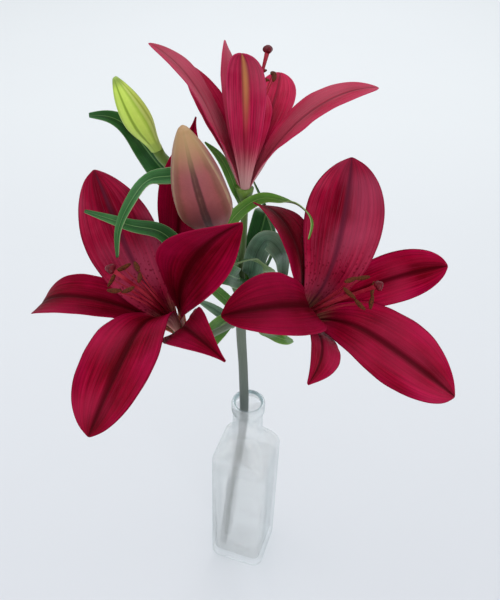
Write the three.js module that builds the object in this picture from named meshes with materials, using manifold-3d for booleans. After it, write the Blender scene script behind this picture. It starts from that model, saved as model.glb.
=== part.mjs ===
// Oriental lily in a glass bottle: one cut stem with three open flowers, two buds and a whorl
// of leaves, standing in the water of a square pressed-glass bottle.
// Millimetres, +Z up. The origin is the centre of the bottle's foot, on the surface it stands on.
import * as THREE from 'three';
import { mergeVertices } from 'three/addons/utils/BufferGeometryUtils.js';
import Module from 'manifold-3d';

const wasm = await Module();
wasm.setup();

// Driving dimensions of the bottle
const BOTTLE_SIDE = 51;
const BOTTLE_HEIGHT = 206;
const BOTTLE_TURN = -17;
const CORNER_RADIUS = 9;
const SHOULDER_HEIGHT = 140;
const NECK_HEIGHT = 172;
const NECK_RADIUS = 13;
const LIP_RADIUS = 14;
const LIP_DEPTH = 10.5;
const MOUTH_RADIUS = 10.6;
const WALL = 3;
const FLOOR = 8;
const WATER_LEVEL = 130;
const CLEARANCE = 0.3;

// Driving dimensions of the plant
const STEM_RADIUS = 3.7;
const STALK_RADIUS = 2.4;
const RECEPTACLE_RADIUS = 5.9;
const STYLE_LENGTH = 70;
const TEPAL_THICKNESS = 0.75;
const LEAF_THICKNESS = 0.7;

// Fineness of the faceted surfaces
const CORNER_STEPS = 6;
const STALK_SIDES = 8;
const STEM_STEPS = 16;
const TEPAL_STEPS = 12;
const TEPAL_STEPS_ACROSS = 6;
const LEAF_STEPS = 9;
const LEAF_STEPS_ACROSS = 4;

// The two layers of a lily's tepals: the inner three are wide and sit nearest the axis, the
// outer three are narrow and sit behind them. rise and fall shape the outline from claw to tip; a
// tepal with an outline of its own has its own rise or fall.
const TEPAL_LAYERS = {
  inner: { seat: 3.4, claw: 2.2, rise: 1.3, fall: 0.72, ruffle: 1.3 },
  outer: { seat: 5.0, claw: 3.0, rise: 1.25, fall: 0.7, ruffle: 0.6 },
};

// Each flower stands at a base point with its axis tilted towards a heading. A tepal has its
// turn round the axis, length and width, the lean of its claw (flare) and of its blade (spread),
// the backward curl of its tip, a sideways sway, a twist about its midrib and its cupping.
const FLOWERS = [
  {
    name: 'left_flower',
    base: [-44, -83, 362],
    heading: -154,
    tilt: 26,
    stamenTurn: 20,
    droop: 9,
    droopTurn: 0,
    reach: 1,
    tepals: [
      { layer: 'inner', turn: 279, length: 109, width: 47, flare: 8, spread: 49, curl: -27,
        sway: -41, twist: 9, cup: 21 },
      { layer: 'outer', turn: 330, length: 106, width: 32, flare: 19, spread: 58, curl: 89,
        sway: -13, twist: -13, cup: 28 },
      { layer: 'inner', turn: 51, length: 114, width: 53, flare: -1, spread: 86, curl: 16,
        sway: -12, twist: -5, cup: 23 },
      { layer: 'outer', turn: 99, length: 101, width: 27, fall: 1.35, flare: 34, spread: 49,
        curl: 59, sway: 5, twist: -5, cup: 18 },
      { layer: 'inner', turn: 149, length: 108, width: 40, flare: 15, spread: 39, curl: 42,
        sway: 4, twist: -123, cup: 28 },
      { layer: 'outer', turn: 220, length: 126, width: 29, rise: 3.2, fall: 1.9, flare: 31,
        spread: 54, curl: 9, sway: -5, twist: -35, cup: 8 },
    ],
  },
  {
    name: 'right_flower',
    base: [31, -51, 345],
    heading: -42,
    tilt: 36,
    stamenTurn: 10,
    droop: 14,
    droopTurn: 50,
    reach: 1,
    tepals: [
      { layer: 'inner', turn: 133, length: 115, width: 50, flare: 9, spread: 63, curl: 10,
        sway: 11, twist: 33, cup: 17 },
      { layer: 'outer', turn: 80, length: 106, width: 32, flare: 21, spread: 60, curl: 25,
        sway: -15, twist: -18, cup: 13 },
      { layer: 'inner', turn: 14, length: 118, width: 59, flare: 11, spread: 72, curl: 15,
        sway: 0, twist: 12, cup: 11 },
      { layer: 'outer', turn: -53, length: 104, width: 27, fall: 1.1, flare: 21, spread: 45, curl: 34,
        sway: -28, twist: 13, cup: 24 },
      { layer: 'inner', turn: -102, length: 113, width: 46, flare: 3, spread: 59, curl: 68,
        sway: -14, twist: -29, cup: 15 },
      { layer: 'outer', turn: 179, length: 97, width: 36, flare: 21, spread: 56, curl: 101,
        sway: -3, twist: -30, cup: 27 },
    ],
  },
  {
    name: 'top_flower',
    base: [-8, 0, 413],
    heading: 94,
    tilt: 10,
    stamenTurn: 0,
    droop: 17,
    droopTurn: -50,
    reach: 1.22,
    tepals: [
      { layer: 'outer', turn: 178, length: 110, width: 23, flare: 24, spread: 8, curl: 54,
        sway: -8, twist: 3, cup: 32 },
      { layer: 'inner', turn: -90, length: 108, width: 50, flare: 25, spread: 45, curl: 48,
        sway: 5, twist: 4, cup: 14 },
      { layer: 'outer', turn: -33, length: 105, width: 27, flare: 26, spread: 64, curl: 19,
        sway: 28, twist: -7, cup: 18 },
      { layer: 'inner', turn: -6, length: 110, width: 44, flare: 10, spread: 48, curl: 40,
        sway: 22, twist: -62, cup: 26 },
      { layer: 'outer', turn: 35, length: 92, width: 27, flare: 24, spread: 49, curl: 12,
        sway: -7, twist: -19, cup: 16 },
      { layer: 'inner', turn: 84, length: 108, width: 48, flare: 21, spread: 23, curl: 43,
        sway: -6, twist: -8, cup: 16 },
    ],
  },
];

const PETAL_FINISH = { color: 0x8c0f2c, roughness: 0.5, metalness: 0 };
const HEART_FINISH = { color: 0xc05a4a, roughness: 0.5, metalness: 0 };
const STALK_FINISH = { color: 0x4d6b3a, roughness: 0.55, metalness: 0 };
const LEAF_FINISH = { color: 0x2c6a34, roughness: 0.45, metalness: 0 };
const DUSKY_BUD_FINISH = { color: 0x9a5a58, roughness: 0.5, metalness: 0 };
const GREEN_BUD_FINISH = { color: 0x9dbf3f, roughness: 0.45, metalness: 0 };
const GLASS_FINISH = { color: 0xdfe9ea, roughness: 0.05, metalness: 0, transparent: true,
  opacity: 0.35 };
const WATER_FINISH = { color: 0xd5e2e6, roughness: 0.05, metalness: 0, transparent: true,
  opacity: 0.4 };

const degrees = (angle) => THREE.MathUtils.degToRad(angle);
const point = (xyz) => new THREE.Vector3(...xyz);
const ease = (x) => THREE.MathUtils.smoothstep(x, 0, 1);

function geometryOf(vertices, triangles) {
  const geometry = new THREE.BufferGeometry();
  const flat = vertices.flatMap((vertex) => [vertex.x, vertex.y, vertex.z]);
  geometry.setAttribute('position', new THREE.Float32BufferAttribute(flat, 3));
  geometry.setIndex(triangles);
  return geometry;
}

// Skins a row of rings with the same number of points, and closes both ends with a fan.
function loft(rings) {
  const count = rings[0].length;
  const centre = (ring) => ring.reduce((sum, p) => sum.add(p), new THREE.Vector3())
    .divideScalar(count);
  const vertices = [...rings.flat(), centre(rings[0]), centre(rings.at(-1))];
  const first = rings.length * count;
  const lastRing = (rings.length - 1) * count;
  const triangles = [];
  for (let j = 0; j < count; j += 1) {
    const next = (j + 1) % count;
    triangles.push(first, next, j);
    triangles.push(first + 1, lastRing + j, lastRing + next);
    for (let i = 0; i < rings.length - 1; i += 1) {
      const low = i * count;
      const high = low + count;
      triangles.push(low + j, low + next, high + next);
      triangles.push(low + j, high + next, high + j);
    }
  }
  return geometryOf(vertices, triangles);
}

// Thickens a waved sheet, given as rows of points, into a blade of even thickness. Both faces
// are split along the same diagonals.
function blade(rows, thickness) {
  const steps = rows.length - 1;
  const across = rows[0].length - 1;
  const width = across + 1;
  const upper = [];
  const lower = [];
  rows.forEach((row, i) => row.forEach((here, j) => {
    const ahead = rows[Math.min(i + 1, steps)][j];
    const behind = rows[Math.max(i - 1, 0)][j];
    const left = row[Math.max(j - 1, 0)];
    const right = row[Math.min(j + 1, across)];
    const along = ahead.clone().sub(behind);
    const side = right.clone().sub(left);
    const normal = along.cross(side).normalize().multiplyScalar(thickness / 2);
    upper.push(here.clone().add(normal));
    lower.push(here.clone().sub(normal));
  }));
  const below = upper.length;
  const triangles = [];
  for (let i = 0; i < steps; i += 1) {
    for (let j = 0; j < across; j += 1) {
      const a = i * width + j;
      const b = a + width;
      const c = b + 1;
      const d = a + 1;
      triangles.push(a, b, c, a, c, d);
      triangles.push(below + a, below + c, below + b, below + a, below + d, below + c);
    }
  }
  const rim = [];
  for (let i = 0; i < steps; i += 1) rim.push(i * width);
  for (let j = 0; j < across; j += 1) rim.push(steps * width + j);
  for (let i = steps; i > 0; i -= 1) rim.push(i * width + across);
  for (let j = across; j > 0; j -= 1) rim.push(j);
  rim.forEach((here, k) => {
    const next = rim[(k + 1) % rim.length];
    triangles.push(below + here, below + next, next, below + here, next, here);
  });
  return geometryOf([...upper, ...lower], triangles);
}

// A round or ridged stalk along a curve: radiusAt gives the radius from start (0) to end (1),
// and section, if any, the factor on it round the stalk.
function stalk(curve, steps, sides, radiusAt, section = () => 1) {
  const frames = curve.computeFrenetFrames(steps);
  const rings = [];
  for (let i = 0; i <= steps; i += 1) {
    const centre = curve.getPointAt(i / steps);
    const ring = [];
    for (let j = 0; j < sides; j += 1) {
      const angle = (j / sides) * Math.PI * 2;
      const radius = radiusAt(i / steps) * section(angle);
      ring.push(centre.clone()
        .addScaledVector(frames.normals[i], Math.cos(angle) * radius)
        .addScaledVector(frames.binormals[i], Math.sin(angle) * radius));
    }
    rings.push(ring);
  }
  return loft(rings);
}

const curveThrough = (points) => new THREE.CatmullRomCurve3(
  points.map(point),
  false,
  'centripetal',
);

function solidOf(geometry) {
  const bare = geometry.clone();
  bare.deleteAttribute('normal');
  bare.deleteAttribute('uv');
  const merged = mergeVertices(bare, 1e-5);
  return new wasm.Manifold(new wasm.Mesh({
    numProp: 3,
    vertProperties: new Float32Array(merged.attributes.position.array),
    triVerts: new Uint32Array(merged.index.array),
  }));
}

function geometryFromSolid(solid) {
  const mesh = solid.getMesh();
  const geometry = new THREE.BufferGeometry();
  const positions = new Float32Array(mesh.vertProperties);
  geometry.setAttribute('position', new THREE.BufferAttribute(positions, 3));
  geometry.setIndex(new THREE.BufferAttribute(new Uint32Array(mesh.triVerts), 1));
  return geometry;
}

const joined = (geometries) => geometryFromSolid(
  geometries.map(solidOf).reduce((whole, solid) => whole.add(solid)),
);

function named(name, geometry, finish) {
  geometry.computeVertexNormals();
  const mesh = new THREE.Mesh(geometry, new THREE.MeshStandardMaterial(finish));
  mesh.name = name;
  return mesh;
}

// A square with round corners; with half equal to corner it is a circle.
function roundedRing(half, corner, z) {
  const ring = [];
  for (let quarter = 0; quarter < 4; quarter += 1) {
    for (let step = 0; step < CORNER_STEPS; step += 1) {
      const angle = (quarter + (step + 0.5) / CORNER_STEPS) * (Math.PI / 2);
      const middle = (quarter + 0.5) * (Math.PI / 2);
      const x = Math.sign(Math.cos(middle)) * (half - corner) + corner * Math.cos(angle);
      const y = Math.sign(Math.sin(middle)) * (half - corner) + corner * Math.sin(angle);
      ring.push(new THREE.Vector3(x, y, z));
    }
  }
  return ring;
}

// The shoulder turns the square body into the round neck; inset is the wall on the inside.
function shoulderRings(inset) {
  const half = BOTTLE_SIDE / 2 - inset;
  const corner = CORNER_RADIUS - inset;
  const neck = NECK_RADIUS - inset;
  return [0, 0.25, 0.5, 0.75, 1].map((rise) => {
    const shrink = Math.sin(rise * Math.PI / 2) ** 2;
    const ringHalf = THREE.MathUtils.lerp(half, neck, shrink);
    const ringCorner = THREE.MathUtils.lerp(corner, neck, Math.min(1, shrink * 1.3));
    const z = THREE.MathUtils.lerp(SHOULDER_HEIGHT, NECK_HEIGHT, rise);
    return roundedRing(ringHalf, Math.min(ringCorner, ringHalf), z);
  });
}

function bottle() {
  const half = BOTTLE_SIDE / 2;
  const lipFoot = BOTTLE_HEIGHT - LIP_DEPTH;
  const circle = (radius, z) => roundedRing(radius, radius, z);
  const outside = [
    roundedRing(half - 3, CORNER_RADIUS - 2, 0),
    roundedRing(half - 0.8, CORNER_RADIUS - 0.5, 1.2),
    roundedRing(half, CORNER_RADIUS, 4),
    ...shoulderRings(0),
    circle(NECK_RADIUS - 0.4, lipFoot - 1.5),
    circle(LIP_RADIUS - 0.6, lipFoot),
    circle(LIP_RADIUS, lipFoot + 1.5),
    circle(LIP_RADIUS, BOTTLE_HEIGHT - 2),
    circle(LIP_RADIUS - 1, BOTTLE_HEIGHT),
  ];
  const inside = [
    circle(MOUTH_RADIUS + 0.8, BOTTLE_HEIGHT),
    circle(MOUTH_RADIUS, BOTTLE_HEIGHT - 1.5),
    ...shoulderRings(WALL).reverse(),
    roundedRing(half - WALL, CORNER_RADIUS - WALL, FLOOR + 3),
    roundedRing(half - WALL - 2, CORNER_RADIUS - WALL - 1, FLOOR),
  ];
  const mesh = named('glass_bottle', loft([...outside, ...inside]), GLASS_FINISH);
  mesh.rotation.z = degrees(BOTTLE_TURN);
  return mesh;
}

// The stem leans in the bottle, from a far corner of the floor through the mouth.
const STEM_PATH = curveThrough([
  [-15, 3, FLOOR + 2 * CLEARANCE],
  [-10, 2.5, 90],
  [-3.5, 1, 185],
  [-5, 0, 240],
  [-8, 0, 290],
  [-8, 0, 330],
]);

function water() {
  const half = BOTTLE_SIDE / 2 - WALL - CLEARANCE;
  const corner = CORNER_RADIUS - WALL - CLEARANCE;
  const body = loft([
    roundedRing(half - 2.2, corner - 1, FLOOR + CLEARANCE),
    roundedRing(half, corner, FLOOR + 3 + CLEARANCE),
    roundedRing(half, corner, WATER_LEVEL),
    roundedRing(half - 2, corner - 1, WATER_LEVEL - 1),
  ]);
  body.rotateZ(degrees(BOTTLE_TURN));
  const foot = stalk(STEM_PATH, STEM_STEPS, STALK_SIDES, () => STEM_RADIUS + CLEARANCE * 1.5);
  const hole = solidOf(foot);
  const below = solidOf(foot.clone().translate(0, 0, -CLEARANCE * 3));
  const standing = solidOf(body).subtract(hole).subtract(below);
  return named('water', geometryFromSolid(standing), WATER_FINISH);
}

const flowerTurn = (flower) => new THREE.Euler(
  0,
  degrees(flower.tilt),
  degrees(flower.heading),
  'ZYX',
);
const flowerAxis = (flower) => new THREE.Vector3(0, 0, 1).applyEuler(flowerTurn(flower));

// Buds: base and tip of the bud, its greatest radius and how far along it stands, the sideways
// bow of its axis, and the route of its stalk from the stem.
const BUDS = [
  { name: 'dusky_bud', base: [-23, -60, 420], tip: [-37, -97, 505], radius: 15.1, widest: 0.36,
    bow: [-3, 0, 0], finish: DUSKY_BUD_FINISH,
    path: [[-8, 0, 314], [-13, -20, 346], [-18, -45, 386]] },
  { name: 'green_bud', base: [-66, 12, 432], tip: [-87, 2, 484], radius: 8.8, widest: 0.45,
    bow: [-1, 0, 0], finish: GREEN_BUD_FINISH,
    path: [[-8, 1, 312], [-20, 10, 350], [-44, 20, 393]] },
];

// Routes of the flower stalks from the stem's whorl to the straight run under each flower.
const STALK_PATHS = {
  left_flower: [[-8, 0, 294], [-15, -30, 318], [-33, -64, 336]],
  right_flower: [[-8, 0, 298], [5, -25, 315], [19, -39, 327]],
  top_flower: [[-8, 0, 322], [-8.5, 0, 350], [-8, -1, 380]],
};

function flowerStalk(flower) {
  const axis = flowerAxis(flower);
  const base = point(flower.base);
  const under = (depth) => base.clone().addScaledVector(axis, -depth).toArray();
  const path = curveThrough([...STALK_PATHS[flower.name], under(12), under(CLEARANCE)]);
  const flareFrom = 0.86;
  return stalk(path, 12, STALK_SIDES, (s) => {
    const flare = ease((s - flareFrom) / (1 - flareFrom));
    return THREE.MathUtils.lerp(STALK_RADIUS, RECEPTACLE_RADIUS, flare);
  });
}

function budStalk(bud) {
  const base = point(bud.base);
  const axis = point(bud.tip).sub(base).normalize();
  const under = (depth) => base.clone().addScaledVector(axis, -depth).toArray();
  const path = curveThrough([...bud.path, under(8), under(CLEARANCE)]);
  return stalk(path, 9, STALK_SIDES, (s) => STALK_RADIUS + 1.2 * ease((s - 0.8) / 0.2));
}

function stemWithStalks() {
  const main = stalk(STEM_PATH, STEM_STEPS, STALK_SIDES, () => STEM_RADIUS);
  const stalks = [...FLOWERS.map(flowerStalk), ...BUDS.map(budStalk)];
  return named('stem', joined([main, ...stalks]), STALK_FINISH);
}

// A closed bud: three ridges where the outer tepals' midribs stand, blunt at the tip.
function bud(shape) {
  const base = point(shape.base);
  const tip = point(shape.tip);
  const middle = base.clone().lerp(tip, 0.5).add(point(shape.bow));
  const axis = new THREE.QuadraticBezierCurve3(base, middle, tip);
  const radiusAt = (s) => {
    const swell = s < shape.widest
      ? ease(s / shape.widest) * 0.55 + 0.45
      : Math.cos(((s - shape.widest) / (1 - shape.widest)) * Math.PI * 0.46) ** 0.8;
    return shape.radius * swell;
  };
  const ridges = (angle) => 1 + 0.06 * Math.cos(3 * angle) + 0.03 * Math.cos(6 * angle);
  return named(shape.name, stalk(axis, 12, 15, radiusAt, ridges), shape.finish);
}

// The midrib of a tepal is followed step by step as its lean from the flower's axis grows; the
// sheet across it is an arc that hugs the axis at the claw and opens towards the tip.
function tepalRows(tepal) {
  const layer = TEPAL_LAYERS[tepal.layer];
  const rise = tepal.rise ?? layer.rise;
  const fall = tepal.fall ?? layer.fall;
  const peak = rise / (rise + fall);
  const tallest = peak ** rise * (1 - peak) ** fall;
  const directionAt = (s) => {
    const lean = degrees(tepal.flare + (tepal.spread - tepal.flare) * ease(s / 0.55)
      + tepal.curl * Math.max(0, (s - 0.4) / 0.6) ** 1.5);
    const turn = degrees(tepal.turn + tepal.sway * s);
    return { lean, turn };
  };
  const midrib = new THREE.Vector3(layer.seat, 0, 0)
    .applyAxisAngle(new THREE.Vector3(0, 0, 1), degrees(tepal.turn));
  const rows = [];
  for (let i = 0; i <= TEPAL_STEPS; i += 1) {
    const s = i / TEPAL_STEPS;
    if (i > 0) {
      const half = directionAt(s - 0.5 / TEPAL_STEPS);
      midrib.add(new THREE.Vector3(
        Math.sin(half.lean) * Math.cos(half.turn),
        Math.sin(half.lean) * Math.sin(half.turn),
        Math.cos(half.lean),
      ).multiplyScalar(tepal.length / TEPAL_STEPS));
    }
    const { lean, turn } = directionAt(s);
    const along = new THREE.Vector3(
      Math.sin(lean) * Math.cos(turn),
      Math.sin(lean) * Math.sin(turn),
      Math.cos(lean),
    );
    const up = new THREE.Vector3(
      -Math.cos(lean) * Math.cos(turn),
      -Math.cos(lean) * Math.sin(turn),
      Math.sin(lean),
    ).applyAxisAngle(along, -degrees(tepal.twist) * s);
    const side = up.clone().cross(along);
    const halfWidth = (tepal.width / 2) * (s ** rise * (1 - s) ** fall) / tallest
      + layer.claw * (1 - s) ** 3 + 0.5 * s;
    const opened = ease(s / 0.5);
    const arc = degrees(36 * (1 - opened) + tepal.cup * opened * (1 - 0.6 * s));
    const row = [];
    for (let j = 0; j <= TEPAL_STEPS_ACROSS; j += 1) {
      const t = (2 * j) / TEPAL_STEPS_ACROSS - 1;
      const bend = (arc * t) ** 2;
      const phase = s * 15 + tepal.turn + (t > 0 ? 1.5 : 0);
      const wave = layer.ruffle * Math.abs(t) ** 3 * Math.sin(phase) * ease((s - 0.2) / 0.3) * (1 - s);
      row.push(midrib.clone()
        .addScaledVector(side, halfWidth * t * (1 - bend / 6))
        .addScaledVector(up, halfWidth * arc * t * t * 0.5 * (1 - bend / 12) + wave));
    }
    rows.push(row);
  }
  return rows;
}

// Ovary, style with its three-lobed stigma, and six stamens whose filaments are rooted round it.
// They droop together towards the flower's lower side.
function heart(flower) {
  const drooped = (x, y, z) => {
    const away = flower.droop * (z / STYLE_LENGTH) ** 2;
    const turn = degrees(flower.droopTurn);
    return [x + away * Math.cos(turn), y + away * Math.sin(turn), z * flower.reach];
  };
  const styleTop = drooped(0, 0, STYLE_LENGTH);
  const ovary = stalk(curveThrough([[0, 0, 0], drooped(0, 0, 16)]), 2, 6, (s) => 2.3 - 0.9 * s);
  const styleRoute = curveThrough([drooped(0, 0, 13), drooped(0, 0, 40), styleTop]);
  const style = stalk(styleRoute, 4, 5, () => 1.2);
  const stigma = new THREE.SphereGeometry(3.4, 6, 5);
  stigma.scale(1, 1, 0.75);
  stigma.translate(...styleTop);
  const parts = [ovary, style, stigma];
  for (let k = 0; k < 6; k += 1) {
    const turn = degrees(flower.stamenTurn + 60 * k);
    const at = (radius, z) => drooped(radius * Math.cos(turn), radius * Math.sin(turn), z);
    const route = curveThrough([at(1.3, 2), at(2.8, 24), at(5.6, 44), at(8.8, 57)]);
    parts.push(stalk(route, 4, 4, () => 0.85));
    const anther = new THREE.SphereGeometry(1, 6, 5);
    anther.scale(1.5, 4.8, 1.5);
    anther.rotateX(degrees(18 * Math.sin(k * 2)));
    anther.rotateZ(turn + degrees(25 * Math.cos(k * 3)));
    anther.translate(...at(9.2, 57.6));
    parts.push(anther);
  }
  return named(`${flower.name}_heart`, joined(parts), HEART_FINISH);
}

function flowerGroup(flower) {
  const group = new THREE.Group();
  group.position.copy(point(flower.base));
  group.rotation.copy(flowerTurn(flower));
  const counts = { inner: 0, outer: 0 };
  flower.tepals.forEach((tepal) => {
    counts[tepal.layer] += 1;
    const name = `${flower.name}_${tepal.layer}_tepal_${counts[tepal.layer]}`;
    group.add(named(name, blade(tepalRows(tepal), TEPAL_THICKNESS), PETAL_FINISH));
  });
  group.add(heart(flower));
  return group;
}

// Leaves: where each is rooted on its stalk (height, and direction round it), the spine from
// there to the tip, the full width, the fold of the blade (degrees up from flat on each side),
// and the directions that its upper face looks in along the blade.
const LEAVES = [
  { name: 'leaf_arched_left', width: 15.8, fold: 16, height: 324, around: 199,
    faces: [[-0.4, -0.6, 0.7], [-0.4, -0.8, 0.6]],
    spine: [[-27, 2, 387], [-43, -42, 446], [-53, -46, 447], [-62, -48, 447], [-71, -65, 442],
      [-79, -70, 425], [-78, -83, 415]] },
  { name: 'leaf_side_left', width: 17.2, fold: 12, height: 329, around: -103,
    faces: [[-0.1, -0.8, 0.7], [0.2, -0.6, 0.7]],
    spine: [[-6, -17, 348], [-11, -50, 377], [-16, -63, 390], [-27, -71, 399], [-43, -69, 411],
      [-55, -65, 422], [-70, -67, 426], [-85, -63, 428], [-100, -59, 430]] },
  { name: 'leaf_behind_bud', width: 29, fold: 12, height: 342, around: 61,
    faces: [[-0.1, -0.6, 0.5], [-0.1, -0.8, 0.7]],
    spine: [[-16, 26, 350], [-30, 26, 380], [-64, 41, 396], [-75, 32, 418], [-86, 36, 432],
      [-98, 30, 444], [-111, 25, 447]] },
  { name: 'leaf_arched_right', width: 11.4, fold: 12, height: 333, around: -156,
    faces: [[0.2, -0.7, 0.8], [0.9, -0.4, 0.3]],
    spine: [[-19, -11, 374], [-18, -17, 394], [-8, -10, 404], [4, -12, 413], [17, -20, 416],
      [25, -27, 419], [34, -42, 417], [32, -49, 408]] },
  { name: 'leaf_thin', width: 7.1, fold: 20, height: 324, around: 34,
    faces: [[0.8, -0.4, 0.3], [0.8, -0.4, 0.3]],
    spine: [[10, 8, 347], [13, 13, 363], [6, 16, 386], [-4, 27, 404]] },
  { name: 'leaf_upright', width: 23.8, fold: 8, height: 333, around: 66,
    faces: [[-0.2, -0.8, 0.4], [0.1, -0.3, 0.8]],
    spine: [[0, 18, 346], [5, 21, 367], [7, 23, 377], [10, 44, 362], [10, 57, 344]] },
  { name: 'leaf_folded', width: 20.3, fold: 12, height: 320, around: -24,
    faces: [[0, -0.7, 0.7], [0.4, -0.8, 0.2]],
    spine: [[-1, -11, 350], [2, -15, 372], [9, -27, 391], [16, -34, 388], [19, -25, 365],
      [19, -42, 358]] },
  { name: 'leaf_pale', width: 10.4, fold: 8, height: 314, around: -17,
    faces: [[0.1, 0.8, 0.7], [-0.5, 0.5, 0.8]],
    spine: [[9, -5, 343], [9, -25, 365], [1, -22, 370], [-9, -38, 380], [-15, -20, 360],
      [-19, -30, 359]] },
  { name: 'leaf_lower_left', width: 20, fold: 10, height: 296, around: -167,
    faces: [[0, -0.6, 1.1], [0, -0.4, 0.9]],
    spine: [[-20, -13, 304], [-26, -32, 311], [-32, -43, 310], [-38, -60, 322]] },
  { name: 'leaf_lower_right', width: 16, fold: 10, height: 296, around: -39,
    faces: [[0.1, -0.3, 0.9], [0.2, -0.4, 0.8]],
    spine: [[5, -8, 298], [12, -27, 309], [21, -41, 317], [30, -30, 305]] },
  { name: 'leaf_strip', width: 11, fold: 10, height: 306, around: -168,
    faces: [[0.3, -0.7, 0.6], [0.3, -0.7, 0.6]],
    spine: [[-18, -9, 322], [-24, -17, 336], [-31, -25, 350], [-39, -31, 362]] },
  { name: 'leaf_grey', width: 10, fold: 10, height: 290, around: 175,
    faces: [[-0.2, -0.7, 0.7], [-0.2, -0.7, 0.7]],
    spine: [[-19, -1, 299], [-30, -4, 311], [-41, -6, 320]] },
  { name: 'leaf_high_tip', width: 9, fold: 12, height: 398, around: 150,
    faces: [[-0.3, -0.5, 0.8], [-0.3, -0.5, 0.8]],
    spine: [[-15, 5, 410], [-21, 10, 422], [-27, 12, 430], [-35, 14, 437]] },
];

// The stem and the stalk of the top flower, which goes on straight up from it, share an axis
// wherever leaves are rooted.
function leafRoot(shape) {
  const radius = shape.height < STEM_PATH.points.at(-1).z ? STEM_RADIUS : STALK_RADIUS;
  const outward = new THREE.Vector3(1, 0, 0)
    .applyAxisAngle(new THREE.Vector3(0, 0, 1), degrees(shape.around));
  const axis = new THREE.Vector3(STEM_PATH.points.at(-1).x, 0, shape.height);
  return {
    foot: axis.addScaledVector(outward, radius + CLEARANCE + LEAF_THICKNESS / 2),
    inward: outward.negate().setZ(0.4),
  };
}

function leaf(shape) {
  const root = leafRoot(shape);
  const spine = curveThrough([root.foot.toArray(), ...shape.spine]);
  const [faceMiddle, faceTip] = shape.faces.map(point);
  const rows = [];
  for (let i = 0; i <= LEAF_STEPS; i += 1) {
    const s = i / LEAF_STEPS;
    const along = spine.getTangentAt(s);
    const face = root.inward.clone().normalize()
      .lerp(faceMiddle, ease(s / 0.3))
      .lerp(faceTip, ease((s - 0.3) / 0.7));
    const side = face.cross(along).normalize();
    const up = along.clone().cross(side);
    const halfWidth = (shape.width / 2) * ((s + 0.06) ** 0.6 * (1.03 - s) ** 0.8) / 0.565;
    const fold = Math.tan(degrees(shape.fold)) * ease((s + 0.05) / 0.3);
    const row = [];
    for (let j = 0; j <= LEAF_STEPS_ACROSS; j += 1) {
      const t = (2 * j) / LEAF_STEPS_ACROSS - 1;
      row.push(spine.getPointAt(s)
        .addScaledVector(side, halfWidth * t)
        .addScaledVector(up, halfWidth * Math.abs(t) ** 1.4 * fold));
    }
    rows.push(row);
  }
  return named(shape.name, blade(rows, LEAF_THICKNESS), LEAF_FINISH);
}

const lily = new THREE.Group();
lily.add(bottle());
lily.add(water());
lily.add(stemWithStalks());
FLOWERS.forEach((flower) => lily.add(flowerGroup(flower)));
BUDS.forEach((shape) => lily.add(bud(shape)));
LEAVES.forEach((shape) => lily.add(leaf(shape)));

export default lily;
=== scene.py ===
# An oriental lily in a small square glass bottle: one cut stem with three open crimson flowers,
# two buds and a whorl of strap leaves, standing in clear water on a pale board.
# Metres, +Z up. The origin is the centre of the bottle's foot.
import math
import bpy
import numpy as np
from mathutils import Euler, Matrix, Vector


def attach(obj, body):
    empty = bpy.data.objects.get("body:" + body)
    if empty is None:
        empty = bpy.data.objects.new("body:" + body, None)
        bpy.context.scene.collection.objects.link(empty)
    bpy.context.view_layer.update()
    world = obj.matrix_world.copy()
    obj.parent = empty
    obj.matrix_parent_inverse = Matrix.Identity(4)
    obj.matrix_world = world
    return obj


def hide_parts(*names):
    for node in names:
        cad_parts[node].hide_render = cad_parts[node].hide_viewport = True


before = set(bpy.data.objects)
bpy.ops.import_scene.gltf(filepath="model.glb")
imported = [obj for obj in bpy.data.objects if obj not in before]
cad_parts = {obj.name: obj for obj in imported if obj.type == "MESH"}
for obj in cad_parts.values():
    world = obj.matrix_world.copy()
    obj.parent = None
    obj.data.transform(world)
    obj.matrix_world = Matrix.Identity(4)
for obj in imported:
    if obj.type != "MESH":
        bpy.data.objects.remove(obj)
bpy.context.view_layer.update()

# Camera. The view from a standing person's eye, looking down on the flowers at about forty
# degrees, so that the mouth of the bottle shows as an ellipse.
CAMERA_PLACE = Vector((-0.0019, -0.4281, 0.6840))
CAMERA_PITCH = math.radians(40.67)
CAMERA_ROLL = math.radians(-2.2)
FOCAL_PIXELS = 769.1
PICTURE_HEIGHT = 600
SENSOR_WIDTH = 36
forward = Vector((0, math.cos(CAMERA_PITCH), -math.sin(CAMERA_PITCH)))
level_down = Vector((0, -math.sin(CAMERA_PITCH), -math.cos(CAMERA_PITCH)))
right = math.cos(CAMERA_ROLL) * Vector((1, 0, 0)) + math.sin(CAMERA_ROLL) * level_down
down = -math.sin(CAMERA_ROLL) * Vector((1, 0, 0)) + math.cos(CAMERA_ROLL) * level_down
camera = bpy.data.objects.new("camera", bpy.data.cameras.new("camera"))
bpy.context.collection.objects.link(camera)
camera.data.lens = FOCAL_PIXELS / PICTURE_HEIGHT * SENSOR_WIDTH
camera.data.sensor_width = SENSOR_WIDTH
camera.data.clip_start = 0.01
turn = Matrix((right, -down, -forward)).transposed().to_4x4()
camera.matrix_world = Matrix.Translation(CAMERA_PLACE) @ turn
bpy.context.scene.camera = camera
bpy.context.scene.view_settings.view_transform = "Standard"

# Board and light. A matt board painted a pale cold white, lit by a wide soft window light from
# the left and the even light of a white room.
BOARD_SIZE = 12
BOARD_CENTRE = (0, 3, 0)
# The board is painted darker near the front and lighter towards the back: painted light.
NEAR_BOARD_WITH_PAINTED_SHADE = (0.64, 0.66, 0.70, 1)
FAR_BOARD_WITH_PAINTED_LIGHT = (0.71, 0.735, 0.75, 1)
FADE_FROM = -0.3
FADE_TO = 0.9
FAINT_SHADE = (0.97, 0.97, 0.97, 1)
ROOM_COLOUR = (0.95, 0.97, 1.0, 1)
ROOM_STRENGTH = 0.78


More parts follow.
